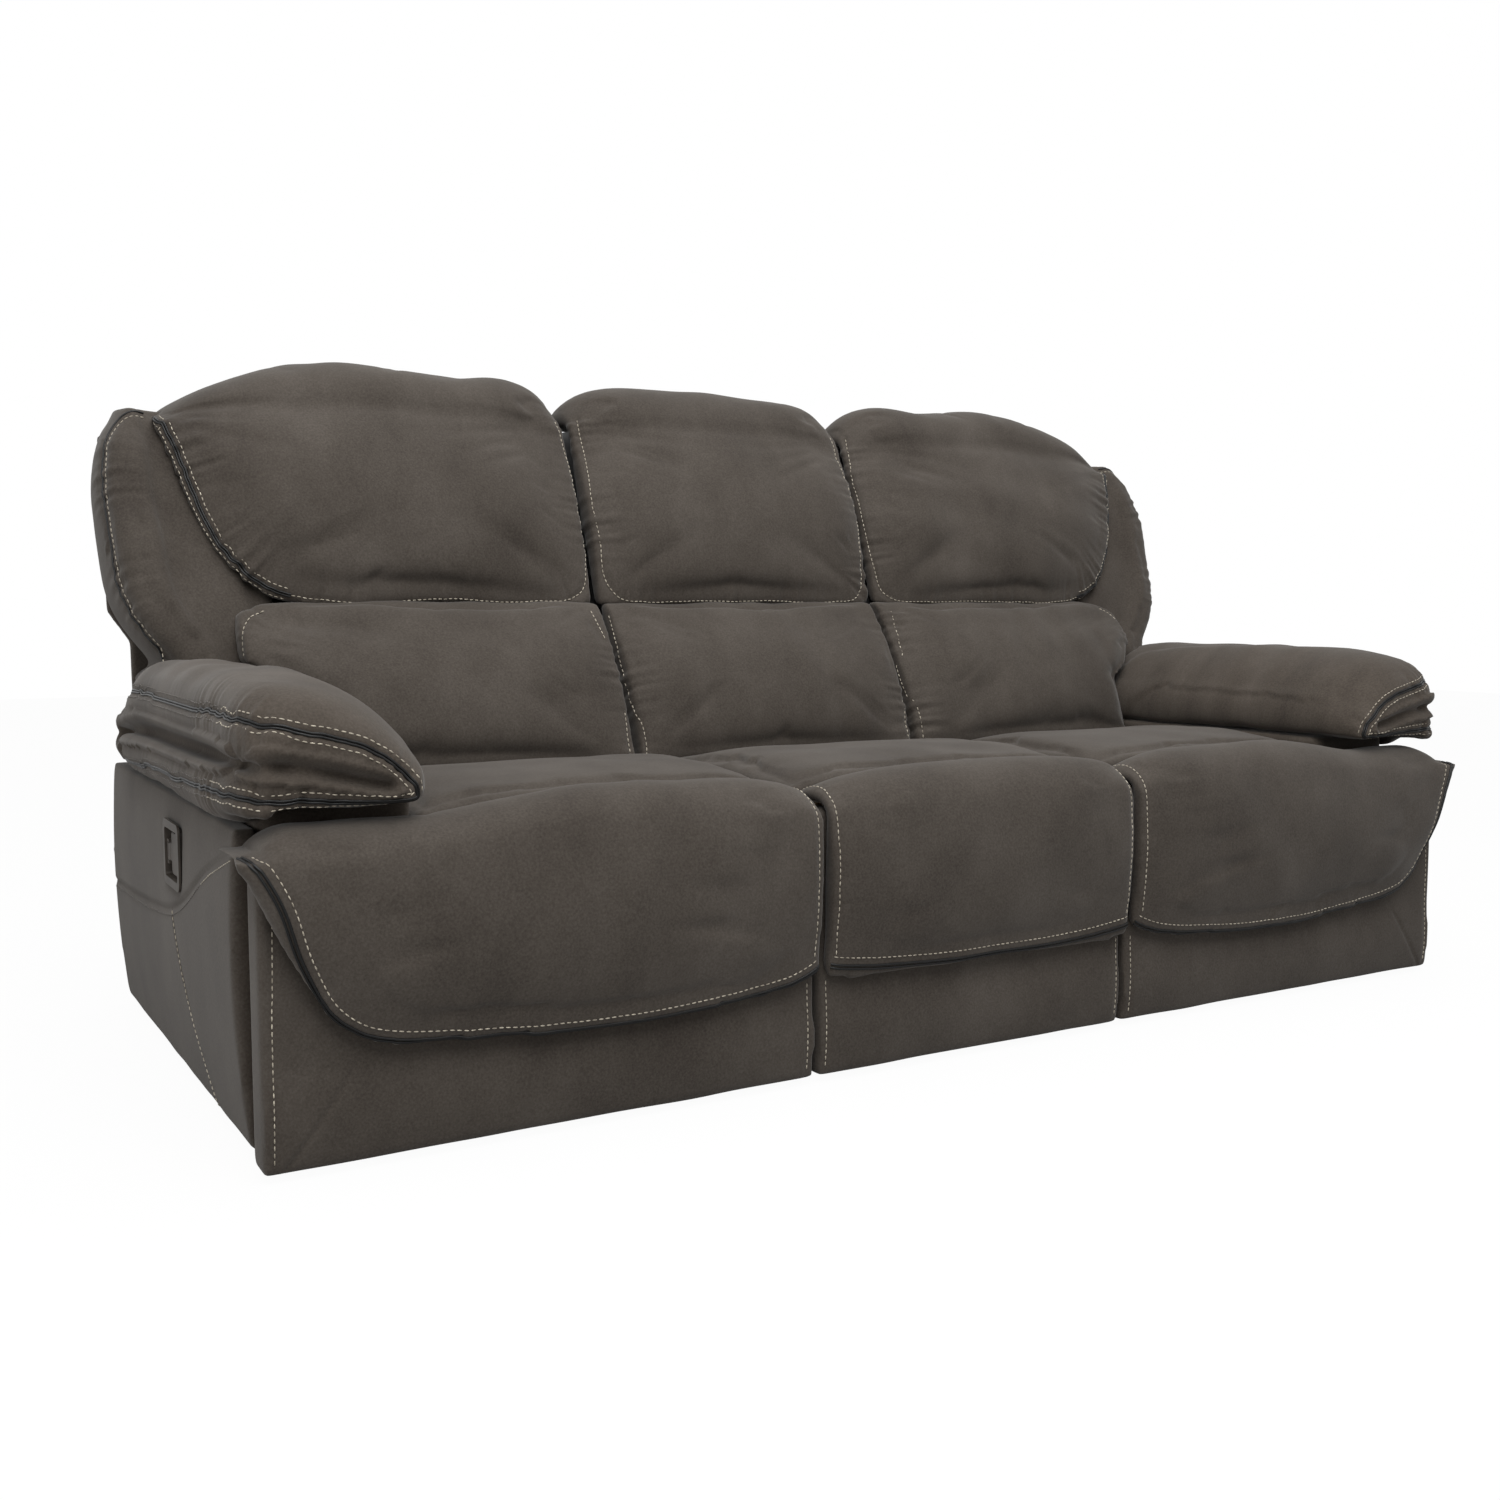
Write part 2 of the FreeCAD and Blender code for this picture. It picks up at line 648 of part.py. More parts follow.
def couplers(number, radius):
    """Pair of straight couplers: front pivot on the footrest bracket, then front and rear swing arm."""
    front_ground, rear_ground = pivot_points()
    x0, x1 = layer(number)
    points = [along(p, SWING_ANGLE, radius) for p in (POLE, front_ground, rear_ground)]
    strip = bar(x0, x1, points[0], points[2], LINK_WIDTH)
    for point in points:
        strip = strip.cut(hole(point))
    return Part.makeCompound(both_sides(strip))


def footrest_bracket():
    """Stamped brackets behind the footrest board, tied by a cross tube."""
    x0, x1 = layer(3)
    upper = along(POLE, SWING_ANGLE, UPPER_RADIUS)
    lower = along(POLE, SWING_ANGLE, LOWER_RADIUS)
    rear = BOARD_FRONT + BOARD_THICKNESS
    points = [
        (rear, upper[1] + 30),
        (rear, lower[1] - 50),
        (rear + 14, lower[1] - 50),
        (lower[0] + 12, lower[1] - 6),
        (lower[0] + 10, lower[1] + 10),
        (upper[0] + 14, upper[1] + 14),
    ]
    plate = polygon_x(x0, x1, points)
    flange = box(x1 - 1, x1 + 26, rear, rear + PLATE, lower[1] - 50, upper[1] + 30)
    pins = [
        rod_x(layer(1)[0], x0 + 1, upper, PIN_RADIUS),
        rod_x(layer(2)[0], x0 + 1, lower, PIN_RADIUS),
    ]
    half = joined(plate, [flange] + pins)
    tube = rod_x(x1 - 1, 2 * seat_middle - x1 + 1, (rear + 11, lower[1] - 38), TUBE_RADIUS)
    return joined(tube, both_sides(half))


def mechanism_frame():
    """Side plates bolted to the divider and the arm, tied by two cross tubes."""
    front_ground, rear_ground = pivot_points()
    x0 = CENTRE_HALF
    points = [
        (front_ground[0] - 26, 60),
        (640, 60),
        (BACK_PIVOT[0] + 30, BACK_PIVOT[1] - 30),
        (BACK_PIVOT[0] + 24, BACK_PIVOT[1] + 22),
        (BACK_PIVOT[0] - 26, BACK_PIVOT[1] + 22),
        (BACK_PIVOT[0] - 60, BACK_PIVOT[1] - 12),
        (front_ground[0] - 26, front_ground[1] + 24),
    ]
    plate = polygon_x(x0, x0 + PLATE, points)
    slots = []
    for y in (345, 500):
        slots.append(bar(x0 - 1, x0 + PLATE + 1, (y, 240), (y + 70, 240), 70))
        slots.append(bar(x0 - 1, x0 + PLATE + 1, (y, 140), (y + 70, 140), 60))
    plate = plate.cut(slots)
    reach = layer(0)[1]
    pins = [rod_x(x0, reach, p, PIN_RADIUS) for p in (front_ground, rear_ground)]
    pins.append(rod_x(x0, reach, BACK_PIVOT, PIN_RADIUS))
    half = joined(plate, pins)
    ties = []
    for y in (430, 590):
        ties.append(rod_x(x0, 2 * seat_middle - x0, (y, 84), TUBE_RADIUS + 3))
    return joined(ties[0], ties[1:] + both_sides(half))


def back_brackets():
    """Steel straps that hang the back frame on the pivots of the side plates."""
    x0, x1 = layer(0)
    foot = (BACK_PIVOT[0] - 4, BACK_PIVOT[1])
    top = (lean(560) + 40, 560)
    strap = bar(x0, x1, foot, top, 40).cut(hole(BACK_PIVOT))
    return Part.makeCompound(both_sides(strap))


def seat_bounds():
    x0 = layer(3)[1] + 12
    return x0, 2 * seat_middle - x0, SEAT_FRONT, SEAT_REAR - 10


def seat_frame():
    """Wooden seat box, open in the middle under the springs."""
    x0, x1, y0, y1 = seat_bounds()
    ring = box(x0, x1, y0, y1, SEAT_BOTTOM - 62, SEAT_BOTTOM - 4)
    ring = ring.cut(box(x0 + RAIL, x1 - RAIL, y0 + RAIL, y1 - RAIL, SEAT_BOTTOM - 70, SEAT_BOTTOM))
    return ring


def seat_springs():
    """Wires from the front rail to the rear rail, tied by two cross wires."""
    x0, x1, y0, y1 = seat_bounds()
    radius = 1.9
    z = SEAT_BOTTOM - 4 + radius
    wires = []
    for number in range(4):
        x = blend(x0, x1, (number + 1) / 5)
        wires.append(Part.makeCylinder(radius, y1 - y0, V(x, y0, z), V(0, 1, 0)))
    for share in (0.35, 0.65):
        wires.append(rod_x(x0 + 20, x1 - 20, (blend(y0, y1, share), z), radius))
    return joined(wires[0], wires[1:])


def floor_glides():
    glides = []
    for x in (280, ARM_INNER + 40, ARM_OUTER - 40):
        for y in (ARM_FRONT + 40, BASE_REAR - 60):
            for side in (-1, 1):
                cone = Part.makeCone(GLIDE_RADIUS - 5, GLIDE_RADIUS, FLOOR_GAP, V(side * x, y, 0))
                glides.append(cone)
    return Part.makeCompound(glides)


def divider():
    """Upright board between the middle seat and an end seat."""
    points = [
        (ARM_FRONT, FLOOR_GAP),
        (BASE_REAR - 30, FLOOR_GAP),
        (BASE_REAR - 30, 200),
        (SEAT_REAR - 4, SEAT_BOTTOM - 4),
        (ARM_FRONT, SEAT_BOTTOM - 4),
    ]
    return polygon_x(CENTRE_HALF - WOOD, CENTRE_HALF, points)


def rear_rail(inner):
    """Low rail across the rear: one length for each bay."""
    end_bay = rear_rail_length(CENTRE_HALF, ARM_INNER)
    return Part.makeCompound([rear_rail_length(-inner, inner), end_bay, mirrored(end_bay)])


def rear_rail_length(x0, x1):
    return box(x0, x1, REAR_RAIL_Y, REAR_RAIL_Y + WOOD, REAR_RAIL_LOW, REAR_RAIL_HIGH)


nodes = {}


def pair(name, shape):
    """One piece for each end seat."""
    nodes["right_" + name] = shape
    nodes["left_" + name] = mirrored(shape)


def fixed_pieces():
    inner = CENTRE_HALF - WOOD
    half = CENTRE_HALF - SEAM_GAP
    nodes["floor_glides"] = floor_glides()
    nodes["rear_rail"] = rear_rail(inner)
    nodes["centre_front_board"] = front_board(-inner, inner)
    nodes["centre_front_pad"] = front_pad(-half, half)
    nodes["centre_flap"] = centre_flap()
    nodes["centre_seat_cushion"] = seat_cushion(-half, half)
    nodes["centre_seat_deck"] = box(-inner, inner, ARM_FRONT, SEAT_REAR - 4, SEAT_BOTTOM - 4 - WOOD, SEAT_BOTTOM - 4)
    nodes["centre_lumbar_pad"] = lumbar_pad(-half, half)
    nodes["centre_head_pad"] = centre_head_pad()
    nodes["centre_back_frame"] = back_frame(-inner, inner)
    nodes["centre_back_panel"] = back_panel(SEAM_GAP - CENTRE_HALF, half, half)
    pair("divider", divider())
    pair("arm_body", arm_body())
    pair("arm_pad", arm_pad())
    pair("side_panel", side_panel())
    pair("handle_bezel", handle_bezel())
    pair("mechanism_frame", mechanism_frame())
    pair("seat_frame", seat_frame())
    pair("seat_springs", seat_springs())
    pair("seat_cushion", seat_cushion(CENTRE_HALF + SEAM_GAP, ARM_INNER - SEAM_GAP))


def moving_pieces():
    front_ground, rear_ground = pivot_points()
    pair("footrest_board", front_board(CENTRE_HALF + 8, ARM_OUTER + 8))
    pair("footrest_pad", front_pad(CENTRE_HALF + SEAM_GAP, SIDE_OUTER - 10))
    pair("footrest_flap", end_flap())
    pair("footrest_bracket", footrest_bracket())
    pair("front_swing_arm", swing_arm(front_ground))
    pair("rear_swing_arm", swing_arm(rear_ground))
    pair("upper_couplers", couplers(1, UPPER_RADIUS))
    pair("lower_couplers", couplers(2, LOWER_RADIUS))
    pair("back_frame", back_frame(layer(0)[1], 2 * seat_middle - layer(0)[1]))
    pair("back_brackets", back_brackets())
    pair("back_panel", back_panel(CENTRE_HALF + SEAM_GAP, PAD_REACH - 24, TONGUE_OUTER))
    pair("lumbar_pad", end_lumbar_pad())
    pair("head_pad", end_head_pad())
    pair("wing_pad", wing_pad())
    pair("handle_paddle", handle_paddle())


fixed_pieces()
moving_pieces()
os.makedirs("parts", exist_ok=True)
for name, shape in sorted(nodes.items()):
    shape = shape.copy()
    shape.translate(V(0, shift_y, 0))
    assert shape.isValid() and shape.Volume > 0, name
    shape.exportStep("parts/" + name + ".step")
    solids = len(shape.Solids)
    bounds = shape.BoundBox
    print(name, solids, round(shape.Volume / 1e6, 3), "dm3",
          [round(v) for v in (bounds.XMin, bounds.XMax, bounds.YMin, bounds.YMax, bounds.ZMin, bounds.ZMax)])
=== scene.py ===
import json
import math

import bmesh
import bpy
import numpy as np
from mathutils import Euler, Matrix, Vector
from mathutils.bvhtree import BVHTree
from mathutils.kdtree import KDTree


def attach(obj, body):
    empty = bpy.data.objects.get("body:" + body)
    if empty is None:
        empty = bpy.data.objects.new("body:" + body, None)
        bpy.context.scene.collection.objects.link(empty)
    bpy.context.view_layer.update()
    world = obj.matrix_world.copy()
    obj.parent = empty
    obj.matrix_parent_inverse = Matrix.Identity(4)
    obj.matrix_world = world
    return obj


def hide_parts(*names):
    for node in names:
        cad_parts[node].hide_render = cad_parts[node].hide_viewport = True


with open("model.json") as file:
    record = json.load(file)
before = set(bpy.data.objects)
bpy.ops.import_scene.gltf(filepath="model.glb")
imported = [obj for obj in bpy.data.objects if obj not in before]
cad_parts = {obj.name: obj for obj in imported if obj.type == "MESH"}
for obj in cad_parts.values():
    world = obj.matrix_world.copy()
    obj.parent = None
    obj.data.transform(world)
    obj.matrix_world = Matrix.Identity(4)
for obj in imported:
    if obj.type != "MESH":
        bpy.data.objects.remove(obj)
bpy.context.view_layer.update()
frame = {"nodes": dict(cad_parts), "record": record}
mm = 0.001
sides = {"left": -1, "right": 1}
print("stage: frame loaded")


# Camera

camera = {
    "place": (-1.466, -2.251, 0.685),
    "turn": (84.38, 0.0, -30.76),  # degrees: tilted down 5.62, turned right 30.76
    "roll": 0.17,
    "lens": 37.41,
}


def placeCamera():
    data = bpy.data.cameras.new("camera")
    data.lens = camera["lens"]
    data.sensor_width = 36
    item = bpy.data.objects.new("camera", data)
    bpy.context.scene.collection.objects.link(item)
    turn = Euler([math.radians(a) for a in camera["turn"]]).to_matrix().to_4x4()
    roll = Matrix.Rotation(math.radians(camera["roll"]), 4, "Z")
    item.matrix_world = Matrix.Translation(camera["place"]) @ turn @ roll
    bpy.context.scene.camera = item


placeCamera()


# Finishes

def linearColour(hexColour):
    channels = [int(hexColour[i:i + 2], 16) / 255 for i in (1, 3, 5)]
    return [c / 12.92 if c <= 0.04045 else ((c + 0.055) / 1.055) ** 2.4 for c in channels] + [1.0]


def addNode(material, kind, links=None, **settings):
    node = material.node_tree.nodes.new(kind)
    for name, value in settings.items():
        setattr(node, name, value)
    for socket, value in (links or {}).items():
        if isinstance(value, bpy.types.NodeSocket):
            material.node_tree.links.new(value, node.inputs[socket])
        else:
            node.inputs[socket].default_value = value
    return node


def newMaterial(name, roughness, **sockets):
    material = bpy.data.materials.new(name)
    material.use_nodes = True
    shader = material.node_tree.nodes["Principled BSDF"]
    shader.inputs["Roughness"].default_value = roughness
    for socket, value in sockets.items():
        shader.inputs[socket.replace("_", " ")].default_value = value
    return material, shader


def colourRamp(material, fac, stops):
    ramp = addNode(material, "ShaderNodeValToRGB", {"Fac": fac})
    elements = ramp.color_ramp.elements
    while len(elements) < len(stops):
        elements.new(0.5)
    for element, (position, hexColour) in zip(elements, stops):
        element.position = position
        element.color = linearColour(hexColour)
    return ramp.outputs["Color"]


def finishSurface(material, shader, colour, height, strength, depth):
    material.node_tree.links.new(colour, shader.inputs["Base Color"])
    bump = addNode(material, "ShaderNodeBump", {
        "Height": height, "Strength": strength, "Distance": depth})
    material.node_tree.links.new(bump.outputs["Normal"], shader.inputs["Normal"])
    return material


# Brushed microfibre suede: polyester nap, matt, with darker and paler patches where a hand has
# brushed it, a fine grain and a soft sheen at glancing angles.
def brushedSuede(name, stops, streak):
    material, shader = newMaterial(
        name, 0.85, Sheen_Weight=0.35, Sheen_Roughness=0.45, Specular_IOR_Level=0.22)
    shader.inputs["Sheen Tint"].default_value = linearColour("#b3b3b2")
    place = addNode(material, "ShaderNodeTexCoord").outputs["Object"]
    brushed = addNode(material, "ShaderNodeMapping", {"Vector": place, "Scale": streak})
    patches = addNode(material, "ShaderNodeTexNoise", {
        "Vector": brushed.outputs["Vector"], "Scale": 1 / 0.14, "Detail": 5.0, "Roughness": 0.62})
    grain = addNode(material, "ShaderNodeTexNoise", {
        "Vector": place, "Scale": 1 / 0.0032, "Detail": 2.0, "Roughness": 0.6})
    tone = addNode(material, "ShaderNodeMix", {
        "Factor": 0.45, "A": patches.outputs["Fac"], "B": grain.outputs["Fac"]})
    colour = colourRamp(material, tone.outputs["Result"], stops)
    return finishSurface(material, shader, colour, grain.outputs["Fac"], 0.35, 0.6 * mm)


# Polyester topstitch thread: twisted, a little dirty in the twist. It is cream where it shows, and
# the fabric's own tone along the rear of the arms.
def twistedThread(name, dark, light):
    material, shader = newMaterial(name, 0.6, Sheen_Weight=0.2)
    place = addNode(material, "ShaderNodeTexCoord").outputs["Object"]
    twist = addNode(material, "ShaderNodeTexNoise", {
        "Vector": place, "Scale": 1 / 0.012, "Detail": 2.0})
    colour = colourRamp(material, twist.outputs["Fac"], [(0.3, dark), (0.7, light)])
    return finishSurface(material, shader, colour, twist.outputs["Fac"], 0.3, 0.3 * mm)


# Welt cord covered in black faux leather: smooth, with a clear line of gloss
def weltLeather():
    material, shader = newMaterial("blackWeltLeather", 0.42, Specular_IOR_Level=0.3)
    place = addNode(material, "ShaderNodeTexCoord").outputs["Object"]
    pores = addNode(material, "ShaderNodeTexVoronoi", {"Vector": place, "Scale": 1 / 0.002})
    colour = colourRamp(material, pores.outputs["Distance"], [(0.0, "#070707"), (1.0, "#121212")])
    return finishSurface(material, shader, colour, pores.outputs["Distance"], 0.2, 0.3 * mm)


# Plastic with a fine, spark-eroded texture: the moulded handle in the fabric's tone and the black
# moulded glides. Near black, it is also painted shade on the plywood of the backs, where they show
# in the gaps between the pads
def finePlastic(name, dark, light):
    material, shader = newMaterial(name, 0.42)
    place = addNode(material, "ShaderNodeTexCoord").outputs["Object"]
    spark = addNode(material, "ShaderNodeTexNoise", {
        "Vector": place, "Scale": 1 / 0.0012, "Detail": 3.0})
    wear = addNode(material, "ShaderNodeTexNoise", {"Vector": place, "Scale": 1 / 0.03})
    colour = colourRamp(material, wear.outputs["Fac"], [(0.35, dark), (0.7, light)])
    return finishSurface(material, shader, colour, spark.outputs["Fac"], 0.25, 0.3 * mm)


# Sawn poplar plywood: pale, dry, with a straight open grain
def sawnPlywood():
    material, shader = newMaterial("sawnPoplarPlywood", 0.72)
    place = addNode(material, "ShaderNodeTexCoord").outputs["Object"]
    along = addNode(material, "ShaderNodeMapping", {"Vector": place, "Scale": (0.12, 1.0, 1.0)})
    grain = addNode(material, "ShaderNodeTexNoise", {
        "Vector": along.outputs["Vector"], "Scale": 1 / 0.012, "Detail": 6.0, "Distortion": 0.6})
    colour = colourRamp(material, grain.outputs["Fac"], [
        (0.3, "#9c7a52"), (0.5, "#c09b6d"), (0.7, "#d3b285")])
    return finishSurface(material, shader, colour, grain.outputs["Fac"], 0.2, 0.8 * mm)


# Black coated steel pressings: a thin semi-gloss film over rolled plate
def coatedSteel():
    material, shader = newMaterial("blackCoatedSteel", 0.4, Coat_Weight=0.2)
    place = addNode(material, "ShaderNodeTexCoord").outputs["Object"]
    film = addNode(material, "ShaderNodeTexNoise", {
        "Vector": place, "Scale": 1 / 0.04, "Detail": 6.0})
    colour = colourRamp(material, film.outputs["Fac"], [(0.35, "#131314"), (0.75, "#2a2a2b")])
    return finishSurface(material, shader, colour, film.outputs["Fac"], 0.15, 0.3 * mm)


# Drawn spring wire: bare steel under a film of oil
def springWire():
    material, shader = newMaterial("drawnSpringWire", 0.35, Metallic=1.0)
    place = addNode(material, "ShaderNodeTexCoord").outputs["Object"]
    oil = addNode(material, "ShaderNodeTexNoise", {
        "Vector": place, "Scale": 1 / 0.02, "Detail": 4.0})
    colour = colourRamp(material, oil.outputs["Fac"], [(0.3, "#6b6a68"), (0.7, "#a09f9c")])
    return finishSurface(material, shader, colour, oil.outputs["Fac"], 0.1, 0.2 * mm)


seatSuede = brushedSuede("brushedMicrofibreSuede", [
    (0.32, "#352f2a"), (0.46, "#413b35"), (0.56, "#48423c"), (0.70, "#524c46")], (1.0, 1.0, 0.7))
armSuede = brushedSuede("combedMicrofibreSuede", [
    (0.32, "#332d28"), (0.46, "#423b34"), (0.56, "#49423b"), (0.70, "#544c45")], (1.0, 1.6, 0.3))
creamThread = twistedThread("creamTopstitchThread", "#857c6d", "#c2b9a7")
toneThread = twistedThread("brownTopstitchThread", "#3a342e", "#5c554d")
weltCover = weltLeather()
# the back frames are coloured near black: painted shade for the gaps between the pads, where the
# frame would show
backFrameShade = finePlastic("paintedGapShade", "#0d0c0c", "#171615")
finishes = {
    "seat_fabric": seatSuede,
    "arm_fabric": armSuede,
    "frame_wood": sawnPlywood(),
    "mechanism_steel": coatedSteel(),
    "spring_steel": springWire(),
    "handle_plastic": finePlastic("mouldedAbsHandle", "#3b352f", "#4a433c"),
    "glide_plastic": finePlastic("mouldedNylonGlide", "#101010", "#1d1d1d"),
}
slotOf = {part["node"]: part["material_slot"] for part in frame["record"]["subparts"]}
bodyOf = {node: body for body, nodes in frame["record"]["behaviour"]["bodies"].items()
          for node in nodes}
for nodeName, item in frame["nodes"].items():
    item.data.materials.clear()
    # a back frame takes the near-black painted shade in place of its wood
    takesGapShade = nodeName.endswith("back_frame")
    item.data.materials.append(backFrameShade if takesGapShade else finishes[slotOf[nodeName]])
print("stage: finishes")


# Seams. A seam's line is in millimetres, and that of an end seat is written for the right-hand
# one: the left-hand one mirrors it. Its other values are in millimetres too:
# rows, welts: how far to the side of the line a row of stitches or a welt runs
# groove: depth and width of the valley that the seam pulls in
# bulge: height of the roll beside the seam and how far off its crest is
# gather: height of the puckers and how far they reach
# creamTo: the y behind which the thread takes the fabric's tone and the puckers fade
# hem: marks the bottom edge of a piece whose hem hangs lower than its solid

def smoothLine(points, spacing=3 * mm):
    knots = np.array(points, float)
    steps = np.linalg.norm(np.diff(knots, axis=0), axis=1)
    at = np.concatenate([[0], np.cumsum(steps)])
    slope = np.gradient(knots, at, axis=0)
    where = np.linspace(0, at[-1], max(6, int(at[-1] / spacing)))
    i = np.clip(np.searchsorted(at, where, side="right") - 1, 0, len(steps) - 1)
    span = (at[i + 1] - at[i])[:, None]
    t = (where - at[i])[:, None] / span
    return (
        (1 + 2 * t) * (1 - t) ** 2 * knots[i] + t * (1 - t) ** 2 * span * slope[i]
        + t * t * (3 - 2 * t) * knots[i + 1] + t * t * (t - 1) * span * slope[i + 1])


def arcLengths(line):
    return np.concatenate([[0], np.cumsum(np.linalg.norm(np.diff(line, axis=0), axis=1))])


def seamsFor(side, *seams):
    return [{**seam, "side": side, "line": smoothLine([(side * x * mm, y * mm, z * mm)
                                                       for x, y, z in seam["line"]])}
            for seam in seams]


def nearestSeam(points, seams):
    tree = KDTree(sum(len(seam["line"]) for seam in seams))
    facts = []
    for number, seam in enumerate(seams):
        for point, arc in zip(seam["line"], arcLengths(seam["line"])):
            tree.insert(point, len(facts))
            facts.append((number, arc))
    tree.balance()
    found = np.array([tree.find(p)[1:] for p in points])
    facts = np.array(facts)[found[:, 0].astype(int)]
    return found[:, 1], facts[:, 0].astype(int), facts[:, 1]


# Puckers of two widths along a seam, stronger in some stretches than in others
def ripple(arc, seed):
    phase = np.random.default_rng(seed).uniform(0, 2 * math.pi, 6)
    fine = np.sin(arc / (3.1 * mm) + phase[0] + 1.4 * np.sin(arc / (17 * mm) + phase[1]))
    wide = np.sin(arc / (5.7 * mm) + phase[2] + 1.2 * np.sin(arc / (23 * mm) + phase[3]))
    patch = 0.55 + 0.45 * np.sin(arc / (31 * mm) + phase[4])
    return (0.45 * fine + 0.55 * wide) * patch


# Padded pieces

puff = {
    "shrink": 4 * mm,  # the copy starts smaller than its solid, and the pressure fills it out
    "pressure": 4.0,
    "frames": 20,
    "quality": 4,
    "bending": 0.3,
    "slide": 0.5,  # share of the sideways movement that is kept
    "inwards": 2 * mm,  # how far a point may end up inside its solid
    "sideCap": 2 * mm,  # how far it may swell towards the next seat
    "seamHeld": 8 * mm,  # width beside a seam that the thread holds down
    "seamDepth": 3 * mm,
    "seamWidth": 9 * mm,
    "seamCalm": 36 * mm,  # width beside a seam over which the swelling grows
    "seamLoss": 0.85,  # share of the swelling that is lost at the seam
}
look = {  # how a padded piece is made where its own values don't say otherwise
    "voxel": 8 * mm,
    "fill": 0.6,
    "swells": 8,  # mm, the most that the pressure may add; 0 skips the simulation
    "stretch": 0.0,  # share by which the cover is cut larger
    "seed": 1,
    "dents": 1.5,  # mm
    "grow": 0.0,  # mm
    "drop": 0.0,  # mm that the hem hangs below its solid
    "lift": 0.0,  # mm that the top edge rises above its solid
    "arch": None,  # mm: x where the top starts to fall, z above which it falls, length in x
}


def readPoints(mesh):
    points = np.empty(len(mesh.vertices) * 3)
    mesh.vertices.foreach_get("co", points)
    return points.reshape(-1, 3)


def readNormals(mesh):
    normals = np.empty(len(mesh.vertices) * 3)
    mesh.vertex_normals.foreach_get("vector", normals)
    return normals.reshape(-1, 3)


def writePoints(mesh, points):
    mesh.vertices.foreach_set("co", points.ravel())
    mesh.update()


def applyModifiers(piece):
    graph = bpy.context.evaluated_depsgraph_get()
    mesh = bpy.data.meshes.new_from_object(piece.evaluated_get(graph))
    piece.modifiers.clear()
    old = piece.data
    piece.data = mesh
    bpy.data.meshes.remove(old)


def subdivide(piece):
    level = piece.modifiers.new("smooth", "SUBSURF")
    level.levels = level.render_levels = 1
    applyModifiers(piece)


def remeshedCopy(name, node, voxel, rounds):
    mesh = bpy.data.meshes.new(name)
    shape = bmesh.new()
    shape.from_mesh(frame["nodes"][node].data)
    bmesh.ops.remove_doubles(shape, verts=shape.verts, dist=0.01 * mm)
    shape.to_mesh(mesh)
    shape.free()
    piece = bpy.data.objects.new(name, mesh)
    bpy.context.scene.collection.objects.link(piece)
    skin = piece.modifiers.new("skin", "REMESH")
    skin.mode = "VOXEL"
    skin.voxel_size = voxel
    applyModifiers(piece)
    shape = bmesh.new()
    shape.from_mesh(piece.data)
    for _ in range(rounds):
        bmesh.ops.smooth_vert(
            shape, verts=shape.verts, factor=0.5, use_axis_x=True, use_axis_y=True, use_axis_z=True)
    shape.to_mesh(piece.data)
    shape.free()
    return piece


def makePiece(name, node, seams=(), **own):
    part = {**look, **own, "node": node, "seams": list(seams)}
    part["piece"] = remeshedCopy(name, node, part["voxel"], 3 if part["swells"] else 1)
    return part


def addCloth(part):
    mesh = part["piece"].data
    points = readPoints(mesh)
    part["before"] = points.copy()
    part["out"] = readNormals(mesh)
    points -= part["out"] * puff["shrink"]
    held = part["piece"].vertex_groups.new(name="held")
    part["room"] = np.ones(len(points))
    if part["seams"]:
        gap, _, _ = nearestSeam(points, part["seams"])
        part["room"] = 1 - puff["seamLoss"] * np.exp(-(gap / puff["seamCalm"]) ** 2)
        valley = puff["seamDepth"] * np.exp(-(gap / puff["seamWidth"]) ** 2)
        points -= part["out"] * valley[:, None]
        held.add(np.flatnonzero(gap < puff["seamHeld"]).tolist(), 1.0, "REPLACE")
    writePoints(mesh, points)
    cloth = part["piece"].modifiers.new("cloth", "CLOTH")
    settings = cloth.settings
    settings.quality = puff["quality"]
    settings.use_pressure = True
    settings.uniform_pressure_force = puff["pressure"]
    settings.effector_weights.gravity = 0
    settings.shrink_min = -part["stretch"]
    settings.bending_stiffness = puff["bending"]
    settings.vertex_group_mass = "held"
    cloth.collision_settings.use_collision = False
    cloth.point_cache.frame_start = 1
    cloth.point_cache.frame_end = puff["frames"]


# The swelling is measured from the solid and kept within the piece's own limit
def keepSwelling(part):
    applyModifiers(part["piece"])
    moved = readPoints(part["piece"].data) - part["before"]
    out = np.sum(moved * part["out"], axis=1)
    sides = np.abs(part["out"][:, 0]) ** 2
    most = part["swells"] * mm * part["room"] * (1 - sides) + puff["sideCap"] * sides
    held = np.clip(out, -puff["inwards"], None)
    held = np.where(held > 0, most * np.tanh(held / most), held)
    along = (moved - part["out"] * out[:, None]) * puff["slide"]
    part["piece"].vertex_groups.clear()
    writePoints(part["piece"].data, part["before"] + along + part["out"] * held[:, None])


def swell(parts):
    parts = [part for part in parts if part["swells"]]
    for part in parts:
        addCloth(part)
    for number in range(1, puff["frames"] + 1):
        bpy.context.scene.frame_set(number)
    for part in parts:
        keepSwelling(part)
    bpy.context.scene.frame_set(1)


# Waves of four lengths in metres, each bent by a longer one
def softDents(points, seed):
    chance = np.random.default_rng(seed)
    total = np.zeros(len(points))
    for length in (0.11, 0.15, 0.19, 0.26):
        turn, bend = chance.normal(size=(2, 3))
        turn *= 2 * math.pi / (length * np.linalg.norm(turn))
        bend *= 2 * math.pi / (2.3 * length * np.linalg.norm(bend))
        phase = chance.uniform(0, 2 * math.pi, 2)
        total += np.sin(points @ turn + phase[0] + 1.3 * np.sin(points @ bend + phase[1]))
    return total / 2.2


def easeIn(share):
    share = np.clip(share, 0, 1)
    return share * share * (3 - 2 * share)


